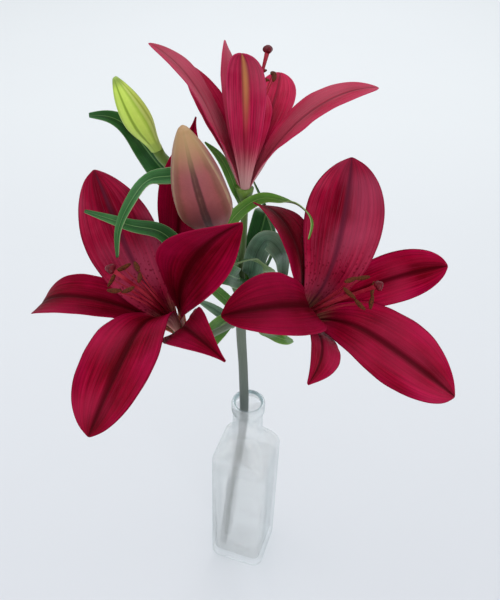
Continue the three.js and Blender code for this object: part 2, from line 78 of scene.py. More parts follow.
class Skin:
    """A material, with short ways to add to the nodes that feed its shader."""

    def __init__(self, name):
        self.material = bpy.data.materials.new(name)
        self.material.use_nodes = True
        self.nodes = self.material.node_tree.nodes
        self.links = self.material.node_tree.links
        self.shader = self.nodes["Principled BSDF"]
        self.place = self.node("TexCoord").outputs["Object"]

    def feed(self, socket, value):
        if isinstance(value, bpy.types.NodeSocket):
            self.links.new(value, socket)
        else:
            socket.default_value = value

    def node(self, kind, **settings):
        """A node of the kind, with its attributes and its inputs set by name."""
        made = self.nodes.new("ShaderNode" + kind)
        for key, value in settings.items():
            if hasattr(made, key):
                setattr(made, key, value)
            else:
                self.feed(made.inputs[key.replace("_", " ")], value)
        return made

    def shade(self, **settings):
        for key, value in settings.items():
            self.feed(self.shader.inputs[key.replace("_", " ")], value)

    def noise(self, scale, detail, vector=None, roughness=0.5):
        """A grain laid along the vector, or else by place."""
        made = self.node("TexNoise", Vector=vector or self.place, Scale=scale, Detail=detail,
                         Roughness=roughness)
        return made.outputs["Fac"]

    def span(self, value, start, end, kind="SMOOTHSTEP"):
        """Rises from 0 to 1 as the value goes from start to end."""
        made = self.node("MapRange", interpolation_type=kind, Value=value, From_Min=start, From_Max=end)
        return made.outputs["Result"]

    def ramp(self, factor, stops):
        """The colour at the factor among the stops, each a position and a colour."""
        made = self.node("ValToRGB", Fac=factor)
        elements = made.color_ramp.elements
        while len(elements) < len(stops):
            elements.new(0.5)
        for element, (position, colour) in zip(elements, stops):
            element.position = position
            element.color = colour
        return made.outputs["Color"]

    def mix(self, base, factor, colour, blend="MIX"):
        made = self.node("Mix", data_type="RGBA", blend_type=blend, Factor=factor, A=base, B=colour)
        return made.outputs["Result"]


bpy.ops.object.select_all(action="DESELECT")
bpy.ops.mesh.primitive_plane_add(size=BOARD_SIZE, location=BOARD_CENTRE)
board = bpy.context.object
board.name = "board"
bpy.ops.object.transform_apply(location=True, rotation=False, scale=False)
paint = Skin("pale board paint")
mottle = paint.ramp(paint.noise(3, 4), ((0, FAINT_SHADE), (1, (1, 1, 1, 1))))
# Painted light: the colour grows lighter with distance back along the board.
depth = paint.node("SeparateXYZ", Vector=paint.place).outputs["Y"]
painted_light_fade = paint.span(depth, FADE_FROM, FADE_TO, "LINEAR")
painted_light_by_depth = paint.ramp(painted_light_fade, ((0, NEAR_BOARD_WITH_PAINTED_SHADE), (1, FAR_BOARD_WITH_PAINTED_LIGHT)))
paint.shade(Base_Color=paint.mix(painted_light_by_depth, 1, mottle, "MULTIPLY"), Roughness=0.75)
board.data.materials.append(paint.material)

world = bpy.data.worlds.new("white room")
bpy.context.scene.world = world
world.use_nodes = True
world.node_tree.nodes["Background"].inputs["Color"].default_value = ROOM_COLOUR
world.node_tree.nodes["Background"].inputs["Strength"].default_value = ROOM_STRENGTH


def soft_light(name, place, target, size, power, colour):
    lamp = bpy.data.lights.new(name, "AREA")
    lamp.size = size
    lamp.energy = power
    lamp.color = colour
    holder = bpy.data.objects.new(name, lamp)
    bpy.context.collection.objects.link(holder)
    holder.location = place
    holder.rotation_euler = (Vector(target) - Vector(place)).to_track_quat("-Z", "Y").to_euler()


soft_light("window", (-1.0, 0.3, 1.6), (0, 0, 0.3), 1.1, 5, (1.0, 0.99, 0.97))
soft_light("ceiling", (0.2, 1.5, 1.9), (0, 0.7, 0.1), 1.3, 17, (0.97, 0.99, 1.0))
soft_light("room", (0.4, -1.3, 0.75), (0, 0, 0.42), 0.9, 7, (1.0, 0.985, 0.97))

# Bottle. A small bottle of clear pressed glass, square with rounded corners, drawn in to a
# round neck and a thick rolled lip. Its foot is a heavy slab of glass.
BOTTLE_SIDE = 0.051
BOTTLE_HEIGHT = 0.206
BOTTLE_TURN = math.radians(-17)
CORNER_RADIUS = 0.009
SHOULDER_HEIGHT = 0.140
NECK_HEIGHT = 0.172
NECK_RADIUS = 0.013
LIP_RADIUS = 0.014
LIP_DEPTH = 0.0105
MOUTH_RADIUS = 0.0106
WALL = 0.003
BOTTLE_FLOOR = 0.008
HEEL_ROUND = 0.003
HEEL_CORNER_ROUND = 0.002
RIM_RADIUS = 0.0124
RIM_DEPTH = 0.0022
LIP_GLASS_START = 0.0015
BOTTLE_SIDES = 64
SHOULDER_STEPS = 14
CREASE = 60


def rounded_ring(half, corner, z, count=BOTTLE_SIDES):
    """A level ring: a square with round corners, or a circle where half is the corner."""
    ring = []
    for k in range(count):
        quarter = 4 * k // count
        step = (k - quarter * count / 4 + 0.5) / (count / 4)
        angle = (quarter + step) * math.pi / 2
        middle = (quarter + 0.5) * math.pi / 2
        x = math.copysign(half - corner, math.cos(middle)) + corner * math.cos(angle)
        y = math.copysign(half - corner, math.sin(middle)) + corner * math.sin(angle)
        ring.append(Vector((x, y, z)))
    return ring


def ringed_solid(name, rings, smooth_angle=180):
    """A cylinder cut into as many hoops as there are rings, each hoop laid on its ring."""
    count = len(rings[0])
    spans = len(rings) - 1
    bpy.ops.object.select_all(action="DESELECT")
    bpy.ops.mesh.primitive_cylinder_add(vertices=count, radius=1, depth=spans, end_fill_type="TRIFAN")
    solid = bpy.context.object
    solid.name = name
    solid.data.name = name
    bpy.ops.object.mode_set(mode="EDIT")
    bpy.ops.mesh.select_all(action="DESELECT")
    bpy.ops.object.mode_set(mode="OBJECT")
    mesh = solid.data
    for edge in mesh.edges:
        low, high = (mesh.vertices[v].co for v in edge.vertices)
        edge.select = abs(low.z - high.z) > 0.5
    bpy.ops.object.mode_set(mode="EDIT")
    bpy.context.tool_settings.mesh_select_mode = (False, True, False)
    if spans > 1:
        bpy.ops.mesh.subdivide(number_cuts=spans - 1)
    bpy.ops.object.mode_set(mode="OBJECT")
    for vertex in mesh.vertices:
        level = round(vertex.co.z + spans / 2)
        if vertex.co.xy.length < 0.01:
            vertex.co = sum(rings[level], Vector()) / count
            continue
        around = math.atan2(vertex.co.y, vertex.co.x) - math.pi / 2
        vertex.co = rings[level][round(around * count / (2 * math.pi)) % count]
    mesh.update()
    bpy.ops.object.shade_smooth_by_angle(angle=math.radians(smooth_angle))
    return solid


def turned(rings, angle):
    spin = Matrix.Rotation(angle, 3, "Z")
    return [[spin @ p for p in ring] for ring in rings]


def shoulder_rings(inset, steps=SHOULDER_STEPS):
    half = BOTTLE_SIDE / 2 - inset
    corner = CORNER_RADIUS - inset
    neck = NECK_RADIUS - inset
    rings = []
    for i in range(steps + 1):
        shrink = math.sin(i / steps * math.pi / 2) ** 2
        ring_half = half + (neck - half) * shrink
        ring_corner = corner + (neck - corner) * min(1, shrink * 1.3)
        z = SHOULDER_HEIGHT + (NECK_HEIGHT - SHOULDER_HEIGHT) * i / steps
        rings.append(rounded_ring(ring_half, min(ring_corner, ring_half), z))
    return rings


half = BOTTLE_SIDE / 2
lip_foot = BOTTLE_HEIGHT - LIP_DEPTH
heel = []
for a in np.linspace(0, math.pi / 2, 6):
    draw_in = 1 - math.sin(a)
    heel.append(rounded_ring(half - HEEL_ROUND * draw_in, CORNER_RADIUS - HEEL_CORNER_ROUND * draw_in,
                             HEEL_ROUND * (1 - math.cos(a))))
lip = [rounded_ring(LIP_RADIUS - bulge, LIP_RADIUS - bulge, lip_foot + rise) for bulge, rise in
       ((0.0006, -0.0002), (0.0002, 0.0006), (0, 0.0016), (0, 0.0085), (0.0003, 0.0096), (0.001, 0.0103),
        (0.0018, 0.0105), (0.0028, 0.0100))]
outside = heel + [rounded_ring(half, CORNER_RADIUS, z) for z in (0.02, 0.08)] + shoulder_rings(0) + [
    rounded_ring(NECK_RADIUS - 0.0002, NECK_RADIUS - 0.0002, NECK_HEIGHT + 0.008),
    rounded_ring(NECK_RADIUS - 0.0004, NECK_RADIUS - 0.0004, lip_foot - 0.0012)] + lip
inside = [rounded_ring(MOUTH_RADIUS, MOUTH_RADIUS, BOTTLE_HEIGHT - 0.002)]
inside += list(reversed(shoulder_rings(WALL)))
inside += [rounded_ring(half - WALL, CORNER_RADIUS - WALL, 0.05)]
for a in np.linspace(0, math.pi / 2, 5):
    round_off = 1 - math.cos(a)
    inside.append(rounded_ring(half - WALL - 0.002 * round_off, CORNER_RADIUS - WALL - 0.001 * round_off,
                               BOTTLE_FLOOR + 0.003 * (1 - math.sin(a))))
bottle = ringed_solid("bottle", turned(outside + inside, BOTTLE_TURN), CREASE)

CLEAR = (0.985, 0.99, 0.99, 1)
GLASS_IOR = 1.47
GLASS_ROUGHNESS = 0.015
RIPPLE_SCALE = 55
RIPPLE_DEPTH = 0.0006
FINE_RELIEF = 0.0003
SLANT_BLEND = 0.35


def reckoned(skin, operation, *values):
    """The outcome of one sum, on numbers or on what other nodes give."""
    made = skin.node("Math", operation=operation)
    for socket, value in zip(made.inputs, values):
        skin.feed(socket, value)
    return made.outputs[0]


def roughen(skin, height, strength, depth=FINE_RELIEF):
    """The surface stands up by the height, too finely for the mesh to show."""
    made = skin.node("Bump", Height=height, Strength=strength, Distance=depth)
    skin.shade(Normal=made.outputs["Normal"])


def see_through(glass, clearness, painted_edge_shade, plain_colour=CLEAR):
    """Light that falls through the clear wall reaches what stands behind it, and the wall is
    painted darker where the eye looks along it: a painted shade towards its slanting edges."""
    ray = glass.node("LightPath")
    passes = reckoned(glass, "MAXIMUM", ray.outputs["Is Shadow Ray"], ray.outputs["Is Diffuse Ray"])
    slant = glass.node("LayerWeight", Blend=SLANT_BLEND).outputs["Facing"]
    # Painted shade: the colour goes from clear towards the edge colour as the wall turns edge-on.
    tone = glass.ramp(slant, ((0.35, plain_colour), (0.95, painted_edge_shade)))
    bare = glass.node("BsdfTransparent", Color=tone)
    blend = glass.node("MixShader", Fac=reckoned(glass, "MAXIMUM", passes, clearness))
    glass.feed(blend.inputs[1], glass.shader.outputs[0])
    glass.feed(blend.inputs[2], bare.outputs[0])
    glass.feed(glass.nodes["Material Output"].inputs["Surface"], blend.outputs[0])


def clear_glass(name, tint, clearness, painted_edge_shade, relief, milkiness=0.0, plain_colour=CLEAR):
    glass = Skin(name)
    glass.shade(Base_Color=tint, Transmission_Weight=1 - milkiness, Roughness=GLASS_ROUGHNESS, IOR=GLASS_IOR)
    see_through(glass, clearness, painted_edge_shade, plain_colour)
    roughen(glass, glass.noise(RIPPLE_SCALE, 1), relief, RIPPLE_DEPTH)
    return glass.material


# Each glass is painted darker towards its slanting edges: a painted shade, darkest on the lip.
bottle.data.materials.append(clear_glass(
    "clear pressed glass", (0.97, 0.985, 0.99, 1), 0.60, (0.80, 0.84, 0.85, 1), 0.12, milkiness=0.35))
bottle.data.materials.append(clear_glass(
    "thick lip glass", (0.90, 0.96, 0.96, 1), 0.45, (0.16, 0.26, 0.28, 1), 0.04))
# The rim of the mouth is tinted dark teal: partly the green of thick glass, partly a painted shade for its
# dark ring.
bottle.data.materials.append(clear_glass(
    "dark rim of the mouth", (0.24, 0.36, 0.37, 1), 0.5, (0.08, 0.16, 0.17, 1), 0.04,
    plain_colour=(0.36, 0.48, 0.49, 1)))
for face in bottle.data.polygons:
    if face.center.z > BOTTLE_HEIGHT - RIM_DEPTH and face.center.xy.length < RIM_RADIUS:
        face.material_index = 2
    elif face.center.z > lip_foot - LIP_GLASS_START:
        face.material_index = 1
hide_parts("glass_bottle")
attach(bottle, "root")

# Water. Clear water, filled to just under the shoulder. It wets the wall, so its surface climbs
# a little all round the edge.
WATER_LEVEL = 0.130
WETTING = 0.00015
WATER_IOR = 1.33
inner = half - WALL + WETTING
inner_corner = CORNER_RADIUS - WALL + WETTING
body = [rounded_ring(inner - 0.0021, inner_corner - 0.001, BOTTLE_FLOOR - 0.0001),
        rounded_ring(inner - 0.0006, inner_corner - 0.0004, BOTTLE_FLOOR + 0.0007),
        rounded_ring(inner, inner_corner, BOTTLE_FLOOR + 0.003)]
body += [rounded_ring(inner, inner_corner, z) for z in (0.05, 0.09, WATER_LEVEL)]
body += [rounded_ring(inner - edge, inner_corner - edge * 0.6, WATER_LEVEL - sink) for edge, sink in
         ((0.0004, 0.0003), (0.0010, 0.0008), (0.0020, 0.0011), (0.0040, 0.0012))]
water = ringed_solid("water", turned(body, BOTTLE_TURN), CREASE)
still = Skin("still water")
tint = still.ramp(still.noise(30, 2), ((0, (0.965, 0.975, 0.985, 1)), (1, (0.99, 0.995, 1.0, 1))))
still.shade(Base_Color=tint, Transmission_Weight=1, Roughness=0.0, IOR=WATER_IOR)
# The water's surfaces also carry a faint painted shade towards their slanting edges.
see_through(still, 0.5, (0.92, 0.95, 0.96, 1))
water.data.materials.append(still.material)
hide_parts("water")
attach(water, "root")

# Stem and stalks. One grey-green stem, cut at the foot, whose top divides into the stalks of
# the three flowers and the two buds. Each stalk swells into the seat of its flower.
CLEARANCE = 0.0003
STEM_RADIUS = 0.0037
STALK_RADIUS = 0.0024
RECEPTACLE_RADIUS = 0.0059
BUD_SEAT_SWELL = 0.0012
STEM_SIDES = 20
STALK_SIDES = 18
STREAK_SCALE = 900
STREAK_STRETCH = (1, 1, 0.06)
GREY_UP_TO = 0.20
GREEN_FROM = 0.42

# Places and lengths in these lists are in millimetres, and turns in degrees. A tepal's flare is
# its lean at the foot, its spread the lean further out, and its curl what the tip adds to that.
FLOWERS = [
    {"name": "left_flower", "base": [-44, -83, 362], "heading": -154, "tilt": 26,
     "stamenTurn": 20, "droop": 9, "droopTurn": 0, "reach": 1,
     "tepals": [
         {"layer": "inner", "turn": 279, "length": 109, "width": 47,
          "flare": 8, "spread": 49, "curl": -27, "sway": -41, "twist": 9, "cup": 21},
         {"layer": "outer", "turn": 330, "length": 106, "width": 32,
          "flare": 19, "spread": 58, "curl": 89, "sway": -13, "twist": -13, "cup": 28},
         {"layer": "inner", "turn": 51, "length": 114, "width": 53,
          "flare": -1, "spread": 86, "curl": 16, "sway": -12, "twist": -5, "cup": 23},
         {"layer": "outer", "turn": 99, "length": 101, "width": 27, "fall": 1.35,
          "flare": 34, "spread": 49, "curl": 59, "sway": 5, "twist": -5, "cup": 18},
         {"layer": "inner", "turn": 149, "length": 108, "width": 40,
          "flare": 15, "spread": 39, "curl": 42, "sway": 4, "twist": -123, "cup": 28},
         {"layer": "outer", "turn": 220, "length": 126, "width": 29, "rise": 3.2, "fall": 1.9,
          "flare": 31, "spread": 54, "curl": 9, "sway": -5, "twist": -35, "cup": 8},
     ]},
    {"name": "right_flower", "base": [31, -51, 345], "heading": -42, "tilt": 36,
     "stamenTurn": 10, "droop": 14, "droopTurn": 50, "reach": 1,
     "tepals": [
         {"layer": "inner", "turn": 133, "length": 115, "width": 50,
          "flare": 9, "spread": 63, "curl": 10, "sway": 11, "twist": 33, "cup": 17},
         {"layer": "outer", "turn": 80, "length": 106, "width": 32,
          "flare": 21, "spread": 60, "curl": 25, "sway": -15, "twist": -18, "cup": 13},
         {"layer": "inner", "turn": 14, "length": 118, "width": 59,
          "flare": 11, "spread": 72, "curl": 15, "sway": 0, "twist": 12, "cup": 11},
         {"layer": "outer", "turn": -53, "length": 104, "width": 27, "fall": 1.1,
          "flare": 21, "spread": 45, "curl": 34, "sway": -28, "twist": 13, "cup": 24},
         {"layer": "inner", "turn": -102, "length": 113, "width": 46,
          "flare": 3, "spread": 59, "curl": 68, "sway": -14, "twist": -29, "cup": 15},
         {"layer": "outer", "turn": 179, "length": 97, "width": 36,
          "flare": 21, "spread": 56, "curl": 101, "sway": -3, "twist": -30, "cup": 27},
     ]},
    {"name": "top_flower", "base": [-8, 0, 413], "heading": 94, "tilt": 10,
     "stamenTurn": 0, "droop": 17, "droopTurn": -50, "reach": 1.22,
     "tepals": [
         {"layer": "outer", "turn": 178, "length": 110, "width": 23,
          "flare": 24, "spread": 8, "curl": 54, "sway": -8, "twist": 3, "cup": 32},
         {"layer": "inner", "turn": -90, "length": 108, "width": 50,
          "flare": 25, "spread": 45, "curl": 48, "sway": 5, "twist": 4, "cup": 14},
         {"layer": "outer", "turn": -33, "length": 105, "width": 27,
          "flare": 26, "spread": 64, "curl": 19, "sway": 28, "twist": -7, "cup": 18},
         {"layer": "inner", "turn": -6, "length": 110, "width": 44,
          "flare": 10, "spread": 48, "curl": 40, "sway": 22, "twist": -62, "cup": 26},
         {"layer": "outer", "turn": 35, "length": 92, "width": 27,
          "flare": 24, "spread": 49, "curl": 12, "sway": -7, "twist": -19, "cup": 16},
         {"layer": "inner", "turn": 84, "length": 108, "width": 48,
          "flare": 21, "spread": 23, "curl": 43, "sway": -6, "twist": -8, "cup": 16},
     ]},
]
BUDS = [
    {"name": "dusky_bud", "base": [-23, -60, 420], "tip": [-37, -97, 505], "radius": 15.1, "widest": 0.36,
     "bow": [-3, 0, 0], "path": [[-8, 0, 314], [-13, -20, 346], [-18, -45, 386]]},
    {"name": "green_bud", "base": [-66, 12, 432], "tip": [-87, 2, 484], "radius": 8.8, "widest": 0.45,
     "bow": [-1, 0, 0], "path": [[-8, 1, 312], [-20, 10, 350], [-44, 20, 393]]},
]
STALK_PATHS = {
    "left_flower": [[-8, 0, 294], [-15, -30, 318], [-33, -64, 336]],
    "right_flower": [[-8, 0, 298], [5, -25, 315], [19, -39, 327]],
    "top_flower": [[-8, 0, 322], [-8.5, 0, 350], [-8, -1, 380]],
}
STEM_PATH = [[-15, 3, 8.6], [-10, 2.5, 90], [-3.5, 1, 185], [-5, 0, 240], [-8, 0, 290], [-8, 0, 330]]


def metres(point):
    return Vector(point) / 1000


def eased(x):
    x = min(1, max(0, x))
    return x * x * (3 - 2 * x)


def route(points, count):
    """A smooth curve through the points, as places evenly spaced along it."""
    p = [np.array(q, float) for q in points]
    p = [2 * p[0] - p[1]] + p + [2 * p[-1] - p[-2]]
    fine = []
    for k in range(1, len(p) - 2):
        a, b, c, d = p[k - 1:k + 3]
        gaps = [max(1e-4, np.linalg.norm(v) ** 0.5) for v in (b - a, c - b, d - c)]
        out = ((b - a) / gaps[0] - (c - a) / (gaps[0] + gaps[1]) + (c - b) / gaps[1]) * gaps[1]
        into = ((c - b) / gaps[1] - (d - b) / (gaps[1] + gaps[2]) + (d - c) / gaps[2]) * gaps[1]
        for u in np.linspace(0, 1, 30, endpoint=False):
            fine.append((2 * u ** 3 - 3 * u ** 2 + 1) * b + (u ** 3 - 2 * u ** 2 + u) * out
                        + (3 * u ** 2 - 2 * u ** 3) * c + (u ** 3 - u ** 2) * into)
    fine = np.array(fine + [p[-2]])
    run = np.concatenate([[0], np.cumsum(np.linalg.norm(np.diff(fine, axis=0), axis=1))])
    at = np.linspace(0, run[-1], count + 1)
    return [Vector([np.interp(a, run, fine[:, axis]) for axis in range(3)]) for a in at]


def hoops(places, sides, radius_at, section=None):
    """Rings of points square to a curve, carried along it without twisting."""
    rings = []
    count = len(places) - 1
    side = None
    for i, place in enumerate(places):
        along = (places[min(i + 1, count)] - places[max(i - 1, 0)]).normalized()
        if side is None:
            side = along.cross(Vector((0.3, 1, 0.2))).normalized()
        side = (side - along * side.dot(along)).normalized()
        across = along.cross(side)
        ring = []
        for j in range(sides):
            angle = 2 * math.pi * j / sides
            radius = radius_at(i / count) * (section(angle, i / count) if section else 1)
            ring.append(place + side * math.cos(angle) * radius + across * math.sin(angle) * radius)
        rings.append(ring)
    return rings


def flower_turn(flower):
    return Euler((0, math.radians(flower["tilt"]), math.radians(flower["heading"]))).to_matrix()


def joined(name, solids):
    """Several solids made one piece."""
    bpy.ops.object.select_all(action="DESELECT")
    for solid in solids:
        solid.select_set(True)
    bpy.context.view_layer.objects.active = solids[0]
    bpy.ops.object.join()
    solids[0].name = name
    solids[0].data.name = name
    return solids[0]


main_stem = ringed_solid("stem", hoops(
    [p / 1000 for p in route(STEM_PATH, 60)], STEM_SIDES,
    lambda s: STEM_RADIUS * (1 + 0.02 * math.sin(23 * s)),
    lambda angle, s: 1 + 0.015 * math.cos(7 * angle + 3 * s)))
stem_parts = [main_stem]
for flower in FLOWERS:
    axis = flower_turn(flower) @ Vector((0, 0, 1))
    base = metres(flower["base"])
    path = [Vector(p) for p in STALK_PATHS[flower["name"]]]
    path += [(base - axis * d) * 1000 for d in (0.012, CLEARANCE)]
    stem_parts.append(ringed_solid("stalk", hoops(
        [p / 1000 for p in route(path, 40)], STALK_SIDES,
        lambda s: STALK_RADIUS + (RECEPTACLE_RADIUS - STALK_RADIUS) * eased((s - 0.86) / 0.14),
        lambda angle, s: 1 + 0.02 * math.cos(6 * angle) * (0.3 + eased((s - 0.8) / 0.2)))))
for bud in BUDS:
    base = metres(bud["base"])
    axis = (metres(bud["tip"]) - base).normalized()
    path = [Vector(p) for p in bud["path"]] + [(base - axis * d) * 1000 for d in (0.008, CLEARANCE)]
    stem_parts.append(ringed_solid("stalk", hoops(
        [p / 1000 for p in route(path, 34)], STALK_SIDES,
        lambda s: STALK_RADIUS + BUD_SEAT_SWELL * eased((s - 0.8) / 0.2))))
stem = joined("stem_and_stalks", stem_parts)

skin = Skin("green stem skin")
stretched = skin.node("Mapping", Vector=skin.place, Scale=STREAK_STRETCH).outputs["Vector"]
streak = skin.noise(STREAK_SCALE, 3, stretched)
height = skin.node("SeparateXYZ", Vector=skin.place).outputs["Z"]
by_height = skin.ramp(skin.span(height, GREY_UP_TO, GREEN_FROM, "LINEAR"), (
    (0, (0.080, 0.098, 0.092, 1)), (0.5, (0.12, 0.15, 0.11, 1)), (1, (0.13, 0.24, 0.02, 1))))
grain = skin.ramp(streak, ((0, (0.55, 0.6, 0.5, 1)), (1, (1.25, 1.25, 1.2, 1))))
skin.shade(Base_Color=skin.mix(by_height, 0.55, grain, "MULTIPLY"), Roughness=0.5)
roughen(skin, streak, 0.25)
stem.data.materials.append(skin.material)
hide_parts("stem")
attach(stem, "root")

# Tepals. Six crimson tepals a flower, three wide ones inside and three narrow ones behind them.
# Each is one thin, velvety blade with a furrow along its midrib, fine veins and ruffled margins.
TEPAL_THICKNESS = 0.00075
TEPAL_LAYERS = {
    "inner": {"seat": 3.4, "claw": 2.2, "rise": 1.3, "fall": 0.72, "ruffle": 1.3},
    "outer": {"seat": 5.0, "claw": 3.0, "rise": 1.25, "fall": 0.7, "ruffle": 0.6},
}
TEPAL_ROWS = 36
TEPAL_COLUMNS = 22
FOOT_ROLL = 36
CRIMP = 0.35
FURROW_DEPTH = 1.1
FURROW_WIDTH = 1.5
QUILT = 0.16


def tepal_surface(tepal):
    """Returns place(s, t): the middle of the blade at s along it and t across it."""
    layer = TEPAL_LAYERS[tepal["layer"]]
    rise = tepal.get("rise", layer["rise"])
    fall = tepal.get("fall", layer["fall"])
    peak = rise / (rise + fall)
    tallest = peak ** rise * (1 - peak) ** fall

    def heading_at(s):
        lean = math.radians(tepal["flare"] + (tepal["spread"] - tepal["flare"]) * eased(s / 0.55)
                            + tepal["curl"] * max(0, (s - 0.4) / 0.6) ** 1.5)
        return lean, math.radians(tepal["turn"] + tepal["sway"] * s)

    def direction(s):
        lean, turn = heading_at(s)
        return Vector((math.sin(lean) * math.cos(turn), math.sin(lean) * math.sin(turn), math.cos(lean)))

    start = math.radians(tepal["turn"])
    steps = 12
    fine = 8
    midrib = [Vector((layer["seat"] * math.cos(start), layer["seat"] * math.sin(start), 0))]
    for i in range(steps * fine):
        s = (i + 0.5) / (steps * fine)
        midrib.append(midrib[-1] + direction(s) * tepal["length"] / (steps * fine))

    def place(s, t):
        here = min(s, 1) * steps * fine
        low = min(int(here), steps * fine - 1)
        centre = midrib[low].lerp(midrib[low + 1], here - low)
        lean, turn = heading_at(s)
        along = direction(s)
        up = Vector((-math.cos(lean) * math.cos(turn), -math.cos(lean) * math.sin(turn), math.sin(lean)))
        up = Matrix.Rotation(-math.radians(tepal["twist"]) * s, 3, along) @ up
        side = up.cross(along)
        belly = tepal["width"] / 2 * (max(s, 1e-6) ** rise * max(1 - s, 0) ** fall) / tallest
        half_width = belly + layer["claw"] * (1 - s) ** 3 + 0.5 * s
        opened = eased(s / 0.5)
        arc = math.radians(FOOT_ROLL * (1 - opened) + tepal["cup"] * opened * (1 - 0.6 * s))
        bend = (arc * t) ** 2
        phase = s * 15 + tepal["turn"] + (1.5 if t > 0 else 0)
        wave = layer["ruffle"] * abs(t) ** 3 * math.sin(phase) * eased((s - 0.2) / 0.3) * (1 - s)
        crimp = CRIMP * abs(t) ** 5 * math.sin(s * 46 + tepal["turn"] * 2 + 2 * t) * eased(s / 0.3) * (1 - s)
        furrow = (-FURROW_DEPTH * math.exp(-(half_width * t / FURROW_WIDTH) ** 2) * eased(s / 0.15)
                  * (1 - s) ** 0.5)
        quilt = (QUILT * math.sin(half_width * t * 1.9) * math.sin(s * 21 + 3 * t) * (1 - abs(t))
                 * eased(s / 0.2))
        return (centre + side * half_width * t * (1 - bend / 6)
                + up * (half_width * arc * t * t * 0.5 * (1 - bend / 12) + wave + crimp + furrow + quilt))

    return place


def flower_stand(flower):
    return Matrix.Translation(metres(flower["base"])) @ flower_turn(flower).to_4x4()


def bladed(name, place, rows, columns, thickness, to_world, finishes):
    """A grid laid on the blade's surface, given its thickness and smoothed. The first finish is
    that of its upper face, the second that of its back."""
    bpy.ops.object.select_all(action="DESELECT")
    bpy.ops.mesh.primitive_grid_add(x_subdivisions=columns, y_subdivisions=rows, size=1, calc_uvs=True)
    blade = bpy.context.object
    blade.name = name
    blade.data.name = name
    blade.data.uv_layers[0].name = "blade"
    for finish in finishes:
        blade.data.materials.append(finish)
    for vertex in blade.data.vertices:
        s, t = vertex.co.y + 0.5, -2 * vertex.co.x
        vertex.co = to_world @ (place(s, t) / 1000)
    blade.data.update()
    wall = blade.modifiers.new("thickness", "SOLIDIFY")
    wall.thickness = thickness
    wall.offset = 0
    wall.material_offset = 1
    wall.use_even_offset = False
    bpy.ops.object.modifier_apply(modifier=wall.name)
    smooth = blade.modifiers.new("smooth", "SUBSURF")
    smooth.levels = 1
    smooth.render_levels = 1
    bpy.ops.object.modifier_apply(modifier=smooth.name)
    bpy.ops.object.shade_smooth()
    return blade


VEIN_SHADE = (0.25, 0.2, 0.25, 1)
PAPILLA_COLOUR = (0.09, 0.0004, 0.006, 1)
FUZZ_TINT = (0.9, 0.25, 0.4, 1)
WINE_SHINE = (1.0, 0.12, 0.28, 1)


def blade_skin(name, tones, throat, throat_reach, rib, rib_width, edge, rib_strength=0.85,
               rib_run=(0, 0.01), edge_strength=0.5, veins=26, vein_depth=0.55, grain=1500, roughness=0.5,
               fuzz=0.03, shine=0.04, shine_colour=WINE_SHINE, streak_and_sheen_colour=None, painted_sheen_strength=0, papillae=0):
    """A petal or leaf skin that follows its own blade: a mottled tone, fine veins that run
    lengthwise, a paler throat, a midrib and a margin. The streak and sheen colour adds lighter
    threads, and patches of painted sheen; papillae are the dark dots of the lower half."""
    skin = Skin(name)
    uv = skin.node("UVMap", uv_map="blade").outputs["UV"]
    split = skin.node("SeparateXYZ", Vector=uv)
    off_rib = reckoned(skin, "ABSOLUTE", reckoned(skin, "SUBTRACT", split.outputs["X"], 0.5))
    across = reckoned(skin, "MULTIPLY", off_rib, 2.0)
    along = split.outputs["Y"]

    def stretched(crosswise, lengthwise):
        return skin.node("Mapping", Vector=uv, Scale=(crosswise, lengthwise, 1)).outputs["Vector"]

    def share(mask, strength):
        return reckoned(skin, "MULTIPLY", mask, strength)

    cloud = skin.noise(38, 3)
    colour = skin.ramp(reckoned(skin, "ADD", share(cloud, 0.7), share(across, 0.3)), tones)
    vein = skin.noise(1, 2, stretched(veins, 1.6), 0.6)
    vein_mask = skin.span(vein, 0.40, 0.62, "LINEAR")
    colour = skin.mix(colour, share(vein_mask, vein_depth), VEIN_SHADE, "MULTIPLY")
    if streak_and_sheen_colour:
        threads = skin.noise(1, 3, stretched(veins * 2.7, 3), 0.7)
        colour = skin.mix(colour, share(skin.span(threads, 0.50, 0.68, "LINEAR"), 0.30), streak_and_sheen_colour)
        # Painted sheen: soft lighter patches of the streak and sheen colour laid over the tone.
        patches = skin.noise(24, 1)
        colour = skin.mix(colour, share(skin.span(patches, 0.42, 0.70), painted_sheen_strength), streak_and_sheen_colour)
    if papillae:
        dots = skin.node("TexVoronoi", Vector=stretched(19, 44), Scale=1).outputs["Distance"]
        dot_mask = skin.span(dots, 0.34, 0.18, "LINEAR")
        dotted = reckoned(skin, "MULTIPLY", dot_mask, skin.span(along, 0.62, 0.30))
        colour = skin.mix(colour, share(dotted, papillae), PAPILLA_COLOUR)
    ragged = reckoned(skin, "ADD", along, share(reckoned(skin, "SUBTRACT", vein, 0.5), 0.25))
    colour = skin.mix(colour, skin.span(ragged, throat_reach, 0.02), throat)
    # On tepal faces and the grey-green leaf the midrib colour is a painted shade down the furrow; on backs
    # and other leaves it is the midrib's own colour.
    rib_share = reckoned(skin, "MULTIPLY", share(skin.span(across, rib_width, 0.0), rib_strength),
                         skin.span(along, *rib_run))
    colour = skin.mix(colour, rib_share, rib)
    colour = skin.mix(colour, share(skin.span(across, 0.93, 0.99), edge_strength), edge)
    roughen(skin, reckoned(skin, "ADD", share(vein_mask, -0.8), skin.noise(grain, 2)), 0.45)
    skin.shade(Base_Color=colour, Roughness=roughness, Sheen_Weight=fuzz, Sheen_Roughness=0.4,
               Sheen_Tint=FUZZ_TINT, Specular_IOR_Level=shine, Specular_Tint=shine_colour)
    return skin.material


CRIMSON = ((0.32, (0.13, 0.0002, 0.004, 1)), (0.50, (0.26, 0.0004, 0.018, 1)),
           (0.72, (0.42, 0.002, 0.050, 1)))
CRIMSON_BACK = ((0.32, (0.14, 0.0004, 0.008, 1)), (0.50, (0.25, 0.001, 0.022, 1)),
                (0.72, (0.40, 0.008, 0.055, 1)))
